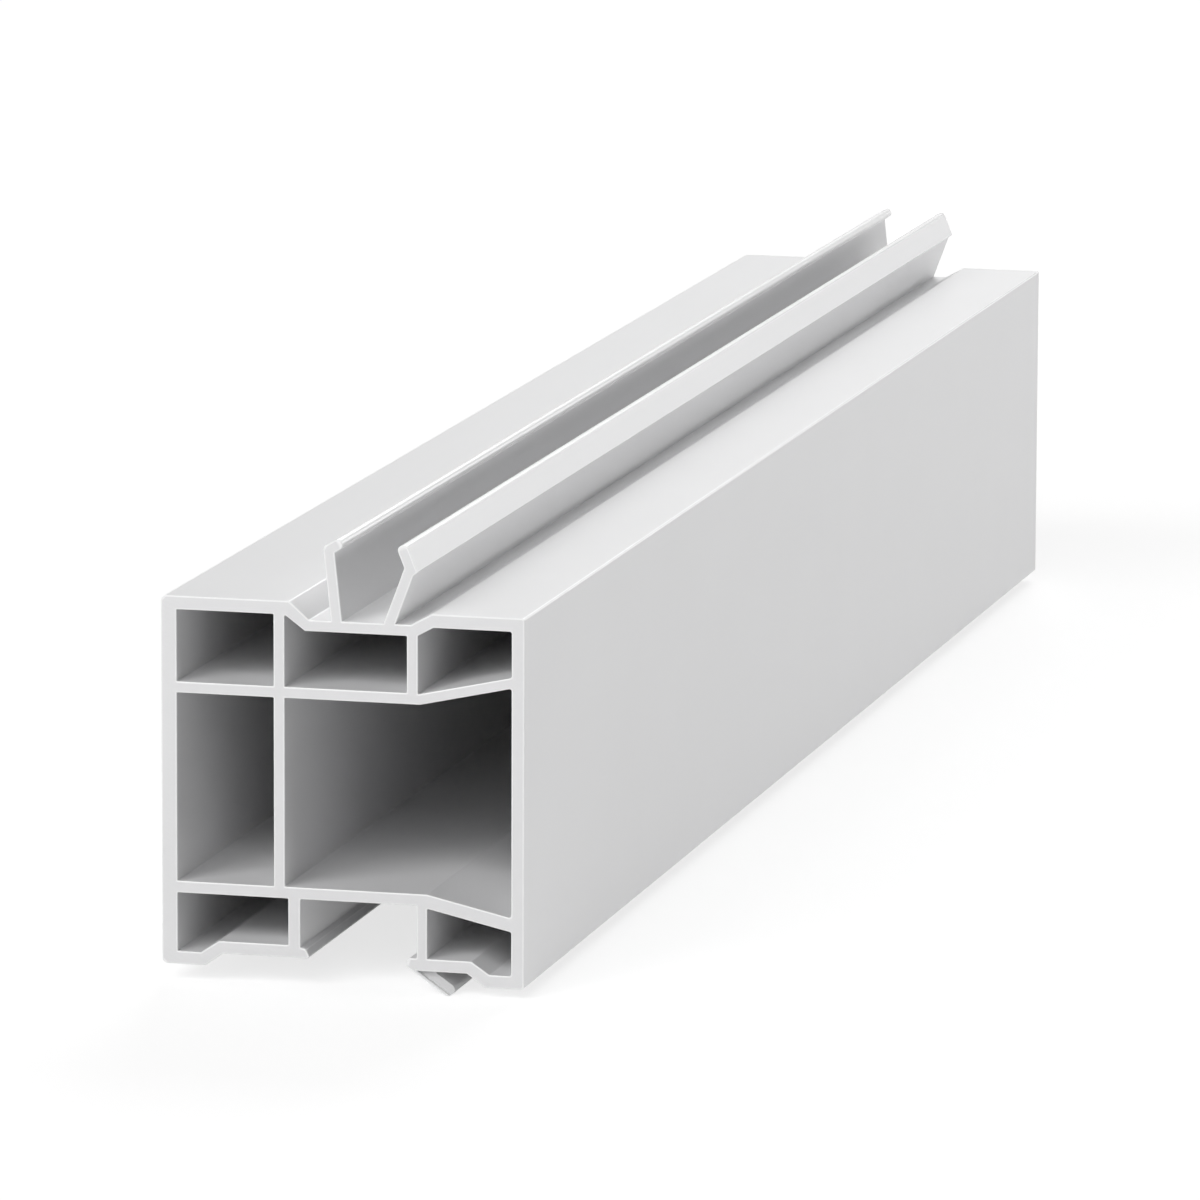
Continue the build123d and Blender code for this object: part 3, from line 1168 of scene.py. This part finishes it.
@dataclass(frozen=True)
class Floor:
    """A plain white floor that shows only the object's shadow."""

    reach: float = 9.0
    shadow_reach: float = 0.5   # how far from the object's middle the floor is as the lamps light it
    white_reach: float = 1.3    # where it has turned to the plain white of the backdrop
    lit_white: float = 0.9      # how much light it sends back to the object
    seen_white: float = 0.45    # how much of the lamps' light shows on it, and so how deep a shadow is
    seen_glow: float = 0.72     # what lifts it to white where no shadow falls

    def build(self) -> bpy.types.Object:
        """Builds the floor as a flat square that faces up, at the level of the object's lowest line.

        Returns:
            The floor's object.
        """
        side = np.array([-1.0, 1.0]) * self.reach
        x, y = np.meshgrid(side, side)
        corners = np.stack([x.ravel(), y.ravel(), np.full(x.size, cad_low.z)], axis=1)
        mesh = bpy.data.meshes.new("floor")
        mesh.from_pydata(corners.tolist(), [], [(0, 1, 3, 2)])
        mesh.materials.append(self.material())
        return in_scene("floor", mesh)

    def material(self) -> bpy.types.Material:
        """Builds a matt white that glows where it is seen, so that it shows as white as the backdrop.

        Away from the object the matt white it shows falls to 0 and the glow rises to 1, both in
        step with the distance. It is clear from below, which leaves the object's underside in view.

        Returns:
            The floor's material.
        """
        made = bpy.data.materials.new("white_floor")
        made.use_nodes = True
        made.node_tree.nodes.remove(made.node_tree.nodes["Principled BSDF"])
        nodes = Nodes(made.node_tree)
        place = nodes.add("TexCoord").outputs["Object"]
        distance = nodes.add("VectorMath", {0: place}, operation="LENGTH").outputs["Value"]
        fade = {"Value": distance, "From Min": self.shadow_reach, "From Max": self.white_reach}
        shown = nodes.add("MapRange", {**fade, "To Min": self.seen_white, "To Max": 0.0})
        lift = nodes.add("MapRange", {**fade, "To Min": self.seen_glow, "To Max": 1.0})

        seen = seen_directly(nodes)
        levels = {"Value": seen, "To Min": self.lit_white, "To Max": shown.outputs["Result"]}
        white = nodes.add("MapRange", levels).outputs["Result"]
        matt = nodes.add("BsdfDiffuse", {"Color": white}).outputs[0]
        glow_strength = nodes.math("MULTIPLY", seen, lift.outputs["Result"])
        glow = nodes.add("Emission", {"Strength": glow_strength}).outputs[0]
        both = nodes.add("AddShader", {0: matt, 1: glow}).outputs[0]
        behind = nodes.add("NewGeometry").outputs["Backfacing"]
        clear = nodes.add("BsdfTransparent").outputs[0]
        one_sided = nodes.add("MixShader", {"Fac": behind, 1: both, 2: clear})
        nodes.feed(made.node_tree.nodes["Material Output"], {"Surface": one_sided.outputs[0]})
        return made


@dataclass(frozen=True)
class SoftBox:
    """A square studio lamp that faces the object."""

    name: str
    azimuth: float              # degrees round the object, 0 in front of the cut end, 90 on the right
    elevation: float            # degrees above the level
    power: float
    distance: float = 2.4
    size: float = 1.1

    def build(self, target: Vector) -> bpy.types.Object:
        """Builds the lamp.

        Args:
            target: the point that it faces.

        Returns:
            The lamp's object.
        """
        lamp = bpy.data.lights.new(self.name, "AREA")
        lamp.shape = "SQUARE"
        lamp.size = self.size
        lamp.energy = self.power
        turn = facing(-self.azimuth, self.elevation)
        made = in_scene(self.name, lamp)
        made.location = target + turn @ Vector((0.0, 0.0, self.distance))
        made.rotation_euler = turn.to_euler()
        return made


@dataclass(frozen=True)
class Studio:
    """A weak light all round, seven soft lamps, and white behind the object."""

    sky: float = 0.1
    lamps: tuple[SoftBox, ...] = (
        SoftBox("left_front_box", azimuth=-30.0, elevation=35.0, power=21.4),
        SoftBox("front_box", azimuth=0.0, elevation=35.0, power=8.7),
        SoftBox("low_front_box", azimuth=0.0, elevation=5.0, power=8.0),
        SoftBox("right_box", azimuth=90.0, elevation=5.0, power=18.6),
        SoftBox("far_right_box", azimuth=150.0, elevation=5.0, power=9.6),
        SoftBox("rear_box", azimuth=180.0, elevation=35.0, power=21.0),
        SoftBox("left_rear_box", azimuth=-125.0, elevation=5.0, power=9.0),
    )

    def build(self) -> None:
        """Builds the lamps and the world, which the camera sees as plain white."""
        centre = (cad_low + cad_high) / 2
        for lamp in self.lamps:
            lamp.build(centre)
        world = bpy.data.worlds.new("studio")
        bpy.context.scene.world = world
        world.use_nodes = True
        nodes = Nodes(world.node_tree)
        level = nodes.add("MapRange", {"Value": seen_directly(nodes), "To Min": self.sky, "To Max": 1.0})
        light = {"Color": (1.0, 1.0, 1.0, 1.0), "Strength": level.outputs["Result"]}
        nodes.feed(world.node_tree.nodes["Background"], light)


@dataclass(frozen=True)
class PhotoCamera:
    """The camera of the photograph, as fitted to the edges of the profile's section."""

    place: tuple[float, float, float] = (0.412598, -1.661564, 0.334973)
    heading: float = -14.2178       # it and the next two are in degrees, as facing takes them
    dip: float = 10.1376
    roll: float = 0.216
    lens: float = 291.558
    sensor: float = 36.0
    nearest: float = 0.05
    farthest: float = 100.0

    def build(self) -> bpy.types.Object:
        """Builds the camera and makes it the scene's own.

        Returns:
            The camera's object.
        """
        data = bpy.data.cameras.new("photo_camera")
        data.lens = self.lens
        data.sensor_width = self.sensor
        data.clip_start, data.clip_end = self.nearest, self.farthest
        camera = in_scene("photo_camera", data)
        camera.location = self.place
        camera.rotation_euler = facing(self.heading, self.dip, self.roll).to_euler()
        bpy.context.scene.camera = camera
        return camera


def write_sizes() -> None:
    """Brings the view layer up to date.
    """
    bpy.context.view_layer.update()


def main() -> None:
    """Builds the profile, the floor, the studio and the camera."""
    logging.basicConfig(level=logging.INFO, format="%(name)s: %(message)s")
    bpy.context.scene.view_settings.view_transform = "Standard"
    profile = ExtendedProfile()
    piece = profile.build()
    profile.dress(piece)
    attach(piece, "root")
    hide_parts(NODE)
    log.info("%s: %d points, %d faces", piece.name, len(piece.data.vertices), len(piece.data.polygons))
    floor = Floor().build()
    log.info("floor: %.1f m across", 2 * Floor.reach)
    Studio().build()
    log.info("studio: %d lamps", len(Studio.lamps))
    camera = PhotoCamera().build()
    log.info("camera: %.1f mm lens", camera.data.lens)
    write_sizes()


if __name__ == "__main__":
    main()
